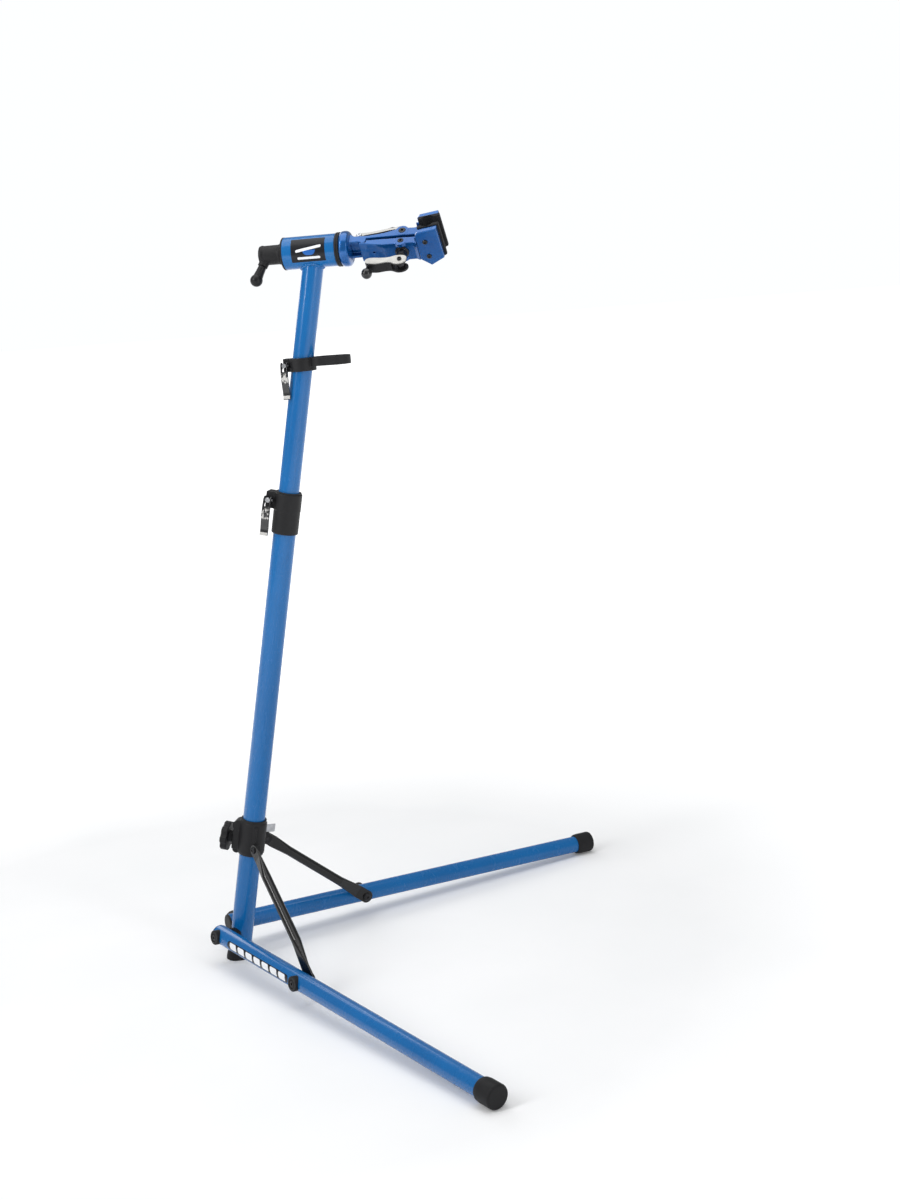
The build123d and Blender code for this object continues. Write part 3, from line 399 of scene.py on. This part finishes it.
def head_label():
    """Near-black, with a blue oval cut off along its top and two pale bars."""
    wrap_radius = 0.0287
    slant = 0.16
    mat = Shader("black_label")
    x = mat.coord(CLAMP, 0)
    # distance round the head tube, upward from the point that faces the near side
    angle = mat.math("ARCTAN2", mat.along((0, 0, 1), HEAD_POINT),
                     mat.along((0, -1, 0), HEAD_POINT))
    girth = mat.mul(angle, wrap_radius)
    below = mat.fade(girth, start=0.0030, end=0.0034)
    oval = mat.rounded(x, girth, centre=(-0.0030, 0.0030), half=(0.0115, 0.0085), radius=0.0083)
    col = mat.mix(mat.mul(below, oval), (0.008, 0.009, 0.012), (0.020, 0.120, 0.420))
    upper = mat.rounded(x, mat.sub(girth, mat.mul(x, slant)), centre=(-0.0040, 0.0065),
                        half=(0.0235, 0.0024), radius=0.0023)
    col = mat.mix(upper, col, (0.80, 0.82, 0.85))
    lower = mat.rounded(x, girth, centre=(-0.0040, -0.0105), half=(0.0210, 0.0022),
                        radius=0.0021)
    film(mat, mat.mix(lower, col, (0.78, 0.80, 0.83)))


paint("blue_paint", base=BLUE, deep=(0.002, 0.112, 0.340))
paint("blue_metallic", base=(0.002, 0.108, 0.360), deep=(0.001, 0.070, 0.265), metal=0.48,
      rough=0.22, coat=0.6, frame=CLAMP, wear_amount=0.3)
paint("black_gloss_tube", base=(0.004, 0.004, 0.0045), deep=(0.003, 0.003, 0.003), rough=0.24,
      coat=0.22, wear=(0.10, 0.10, 0.11), frame=BRACE)
paint("jaw_black", base=(0.007, 0.007, 0.008), deep=(0.005, 0.005, 0.006), rough=0.4, coat=0.1,
      wear=(0.14, 0.14, 0.15), frame=CLAMP)
plastic("black_satin", base=(0.009, 0.009, 0.010), light=(0.045, 0.045, 0.048), dust=0.02)
plastic("grip_black", base=(0.007, 0.007, 0.008), light=(0.040, 0.040, 0.043), rough=0.38,
        grain=1900.0, dust=0.02)
plastic("ball_black", base=(0.010, 0.010, 0.011), light=(0.05, 0.05, 0.05), rough=0.16,
        grain=500.0, depth=0.00003, coat=0.5)
plastic("dark_plastic", base=(0.014, 0.014, 0.015), light=(0.055, 0.055, 0.058), rough=0.52,
        dust=0.03)
rubber("rubber_black", base=(0.009, 0.009, 0.010), rough=0.58)
rubber("pad_rubber", base=(0.010, 0.010, 0.011), rough=0.66, grain=1500.0)
steel("black_screw", base=(0.045, 0.045, 0.048), dark=(0.022, 0.022, 0.024), rough=0.34,
      metal=0.85)
steel("bright_steel", base=(0.66, 0.67, 0.69), dark=(0.46, 0.47, 0.49), rough=0.22)
steel("grey_zinc", base=(0.50, 0.51, 0.53), dark=(0.36, 0.37, 0.39), rough=0.42, metal=0.9)
steel("silver_paint", base=(0.40, 0.395, 0.375), dark=(0.30, 0.295, 0.285), rough=0.30,
      metal=0.9, spots=0.1, frame=CLAMP, brush=(40.0, 400.0, 400.0))
lever_black()
leg_label()
head_label()


def dress(mesh, material):
    mesh.materials.clear()
    mesh.materials.append(MATERIALS[material])


for node, slot in SLOT.items():
    dress(nodes[node].data, slot)

# ---------------------------------------------------------------------------
# meshes
# ---------------------------------------------------------------------------


def add_object(name, data):
    ob = bpy.data.objects.new(name, data)
    scene.collection.objects.link(ob)
    return ob


def bake(ob):
    """Apply the modifiers and shade smooth."""
    graph = bpy.context.evaluated_depsgraph_get()
    mesh = bpy.data.meshes.new_from_object(ob.evaluated_get(graph))
    ob.modifiers.clear()
    old = ob.data
    ob.data = mesh
    if old.users == 0:
        bpy.data.meshes.remove(old)
    mesh.shade_smooth()


def settle(ob, node):
    dress(ob.data, SLOT[node])
    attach(ob, BODY[node])
    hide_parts(node)


def melt(node, frame, voxel, smoothing):
    """Cast or moulded version of a CAD piece: remeshed in a frame, edges relaxed."""
    mesh = nodes[node].data.copy()
    mesh.transform(frame.inverted())
    ob = add_object(node + "_m", mesh)
    remesh = ob.modifiers.new("remesh", "REMESH")
    remesh.mode = "VOXEL"
    remesh.voxel_size = voxel
    smooth = ob.modifiers.new("smooth", "SMOOTH")
    smooth.factor = 0.5
    smooth.iterations = smoothing
    ob.modifiers.new("decimate", "DECIMATE").ratio = 0.35
    bake(ob)
    ob.data.transform(frame)
    ob.data.update()
    settle(ob, node)


def crisp(node, width):
    """Machined version of a CAD piece: faces joined up and every sharp edge rounded."""
    mesh = nodes[node].data.copy()
    ob = add_object(node + "_m", mesh)
    bm = bmesh.new()
    bm.from_mesh(mesh)
    bmesh.ops.remove_doubles(bm, verts=bm.verts, dist=1e-6)
    bmesh.ops.dissolve_limit(bm, angle_limit=math.radians(0.6), verts=bm.verts, edges=bm.edges)
    bm.to_mesh(mesh)
    bm.free()
    bevel = ob.modifiers.new("bevel", "BEVEL")
    bevel.width = width
    bevel.segments = 3
    bevel.limit_method = "ANGLE"
    bevel.angle_limit = math.radians(32.0)
    bake(ob)
    ob.modifiers.new("w", "WEIGHTED_NORMAL").keep_sharp = True
    settle(ob, node)


# piece, frame of the voxel grid, voxel size, smoothing passes
MELTED = (
    ("brace_collar", UPRIGHT, 0.0008, 9), ("height_collar", UPRIGHT, 0.0007, 8),
    ("accessory_band", WORLD, 0.0006, 6), ("height_lever", UPRIGHT, 0.0005, 8),
    ("accessory_lever", WORLD, 0.0004, 8), ("collar_knob", UPRIGHT, 0.0006, 8),
    ("clamp_body", CLAMP, 0.0006, 9), ("moving_arm", CLAMP, 0.0006, 9),
    ("fixed_jaw", CLAMP, 0.0005, 6), ("moving_jaw", CLAMP, 0.0005, 6),
    ("fixed_jaw_pad", CLAMP, 0.0005, 5), ("moving_jaw_pad", CLAMP, 0.0005, 5),
    ("fixed_grip", CLAMP, 0.0005, 10), ("cam_lever_grip", CLAMP, 0.0005, 10),
    ("cam_hub", CLAMP, 0.0005, 5), ("lock_knob", HEAD, 0.0005, 7),
    ("lock_lever", HEAD, 0.0005, 7), ("ball_knob", CLAMP, 0.0003, 5),
    ("base_foot", UPRIGHT, 0.0006, 6), ("near_brace", BRACE, 0.0006, 6),
    ("far_brace", FAR_BRACE, 0.0006, 6),
)
for row in MELTED:
    melt(*row)

# bevel width, pieces
BEVELLED = (
    (0.0005, "near_leg_tube far_leg_tube"), (0.0004, "lower_tube"), (0.0003, "upper_tube"),
    (0.0005, "head_tube"), (0.0006, "near_leg_cap far_leg_cap"),
    (0.0003, "near_leg_plug far_leg_plug"),
    (0.0004, "rear_head_bush front_head_bush ear_plate leg_pivot_bolts"),
    (0.0006, "near_leg_saddles far_leg_saddles"), (0.0005, "leg_spacers"),
    (0.0004, "brace_pins near_brace_bolt far_brace_bolt near_brace_stud far_brace_stud"),
    (0.0003, "height_clamp_bolt accessory_bolt"), (0.0004, "jaw_pivot_pin"),
    (0.0003, "fixed_jaw_screws moving_jaw_screws"), (0.0004, "fixed_trunnion"),
    (0.0003, "moving_trunnion_pins clamp_screw cam_pin"), (0.0005, "fixed_grip_plate"),
    (0.0003, "fixed_grip_bolt"), (0.0005, "cam_lever_plate clamp_shaft"),
    (0.0003, "collar_shim"),
)
for width, names in BEVELLED:
    for node in names.split():
        crisp(node, width)


def finish_levers():
    """Lengthen the accessory lever's blade downward, and give both levers their black."""
    blade_drop, blade_stretch = 0.014, 1.30  # the blade starts this far below the lever's top
    blade_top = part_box("accessory_lever")[1].z - blade_drop
    for vertex in bpy.data.objects["accessory_lever_m"].data.vertices:
        if vertex.co.z < blade_top:
            vertex.co.z = blade_top + (vertex.co.z - blade_top) * blade_stretch
    for lever in LEVER_UPS:
        dress(bpy.data.objects[lever + "_m"].data, "lever_black")


finish_levers()


def weld():
    """Rippled weld bead where the upper tube meets the head tube."""
    upper_radius, head_radius = 0.01905, 0.028575
    ripples, rings_each, sides = 68, 10, 14
    bead_radius = 0.0027
    lift = lean = 0.0007  # centre line off the tubes; lean of the section along the bead
    flatten = 0.82
    tilt = math.atan2(MAST_AXIS.x, MAST_AXIS.z)
    across = Vector((math.cos(tilt), 0.0, -math.sin(tilt)))
    draw = random.Random(3)
    sizes = [1.0 + draw.uniform(-0.10, 0.10) for _ in range(ripples)]
    rings = ripples * rings_each

    def seam(phi):
        """Point on the line where the tubes meet, and the way out from both."""
        reach = math.sqrt(head_radius ** 2 - (upper_radius * math.sin(phi)) ** 2)
        drop = (reach - upper_radius * math.cos(phi) * math.sin(tilt)) / math.cos(tilt)
        from_upper = across * math.cos(phi) + Vector((0.0, math.sin(phi), 0.0))
        point = HEAD_POINT - MAST_AXIS * drop + from_upper * upper_radius
        from_head = Vector((0.0, point.y - HEAD_POINT.y, point.z - HEAD_POINT.z)).normalized()
        return point, (from_upper + from_head).normalized()

    bm = bmesh.new()
    rows = []
    for i in range(rings):
        phi = 2 * math.pi * i / rings
        point, out = seam(phi)
        forward = (seam(phi + 0.01)[0] - point).normalized()
        side = forward.cross(out).normalized()
        swell = 0.84 + 0.20 * math.sin(math.pi * (i % rings_each) / rings_each) ** 0.6
        radius = bead_radius * sizes[i // rings_each] * swell
        centre = point + out * lift
        row = []
        for j in range(sides):
            angle = 2 * math.pi * j / sides
            section = out * math.cos(angle) * flatten + side * math.sin(angle)
            row.append(bm.verts.new(centre + section * radius
                                    + forward * (lean * math.cos(angle))))
        rows.append(row)
    for i in range(rings):
        a, b = rows[i], rows[(i + 1) % rings]
        for j in range(sides):
            k = (j + 1) % sides
            bm.faces.new((a[j], a[k], b[k], b[j]))
    bmesh.ops.recalc_face_normals(bm, faces=bm.faces)
    mesh = bpy.data.meshes.new("weld_bead")
    bm.to_mesh(mesh)
    bm.free()
    mesh.shade_smooth()
    dress(mesh, SLOT["upper_tube"])
    ob = add_object("weld_bead", mesh)
    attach(ob, "mast")


weld()

# ---------------------------------------------------------------------------
# floor, lights, world and camera
# ---------------------------------------------------------------------------


def floor_paint():
    """Off-white that lifts to plain white away from the product."""
    mat = Shader("floor_paint")
    col = mat.mix(mat.patches(start=0.3, end=0.7, scale=3.0),
                  (0.86, 0.865, 0.87), (0.90, 0.90, 0.905))
    glow = mat.remap(mat.vec("LENGTH", mat.point), start=0.9, end=3.0, low=0.08, high=1.0)
    mat.set(Base_Color=col, Roughness=0.7, Specular_IOR_Level=0.2,
            Normal=mat.bump(mat.noise(scale=220.0), strength=0.04, distance=0.0004),
            Emission_Color=(1, 1, 1), Emission_Strength=glow)


def floor():
    columns = (-36.0, -6.0, 0.0, 6.0, 36.0)
    # y, z: flat, with a slight rise far behind
    profile = ((-6.0, 0.0), (-3.0, 0.0), (0.0, 0.0), (4.5, 0.0), (9.0, 0.0), (18.0, 0.02),
               (36.0, 0.1))
    bm = bmesh.new()
    rows = [[bm.verts.new((x, y, z)) for x in columns] for y, z in profile]
    for a, b in zip(rows, rows[1:]):
        for i in range(len(columns) - 1):
            bm.faces.new((a[i], a[i + 1], b[i + 1], b[i]))
    mesh = bpy.data.meshes.new("floor")
    bm.to_mesh(mesh)
    bm.free()
    mesh.shade_smooth()
    ob = add_object("floor", mesh)
    floor_paint()
    dress(mesh, "floor_paint")


floor()

# name, place, target, width, height, watts
LIGHTS = (
    ("key", (-1.9, -2.3, 2.6), (0.2, 0, 0.7), 0.5, 2.6, 58),
    ("fill", (2.9, -1.9, 1.7), (0.2, 0, 0.7), 0.35, 2.6, 22),
    ("top", (0.3, -0.1, 3.4), (0.3, 0, 0), 3.0, 2.6, 46),
    ("back", (-1.6, 2.4, 2.2), (0.2, 0, 0.7), 1.4, 1.8, 20),
)
for name, place, target, width, height, watts in LIGHTS:
    light = bpy.data.lights.new(name, "AREA")
    light.shape = "RECTANGLE"
    light.size = width
    light.size_y = height
    light.energy = watts
    ob = add_object(name, light)
    ob.location = place
    ob.rotation_euler = (Vector(target) - Vector(place)).to_track_quat("-Z", "Y").to_euler()


def studio():
    """World that looks plain white to the camera and is softer as a light."""
    world = bpy.data.worlds.new("studio")
    world.use_nodes = True
    tree = world.node_tree
    background = tree.nodes["Background"]
    background.inputs["Color"].default_value = (0.97, 0.985, 1.0, 1.0)
    path = tree.nodes.new("ShaderNodeLightPath")
    strength = tree.nodes.new("ShaderNodeMapRange")
    strength.inputs["To Min"].default_value = 0.36
    strength.inputs["To Max"].default_value = 1.02
    tree.links.new(path.outputs["Is Camera Ray"], strength.inputs["Value"])
    tree.links.new(strength.outputs[0], background.inputs["Strength"])
    scene.world = world


def camera():
    right = Vector((0.9773723, 0.19618244, -0.07909382))
    up = Vector((0.03868388, 0.2018376, 0.97865476))
    forward = Vector((-0.20795898, 0.95956971, -0.18968138))
    lens = bpy.data.cameras.new("camera")
    lens.sensor_width = 36.0
    lens.lens = 51.754
    lens.clip_end = 60.0
    ob = add_object("camera", lens)
    matrix = Matrix((right, up, -forward)).transposed().to_4x4()
    matrix.translation = Vector((1.135767, -3.028872, 1.294432))
    ob.matrix_world = matrix
    scene.camera = ob


studio()
camera()
scene.view_settings.view_transform = "Standard"
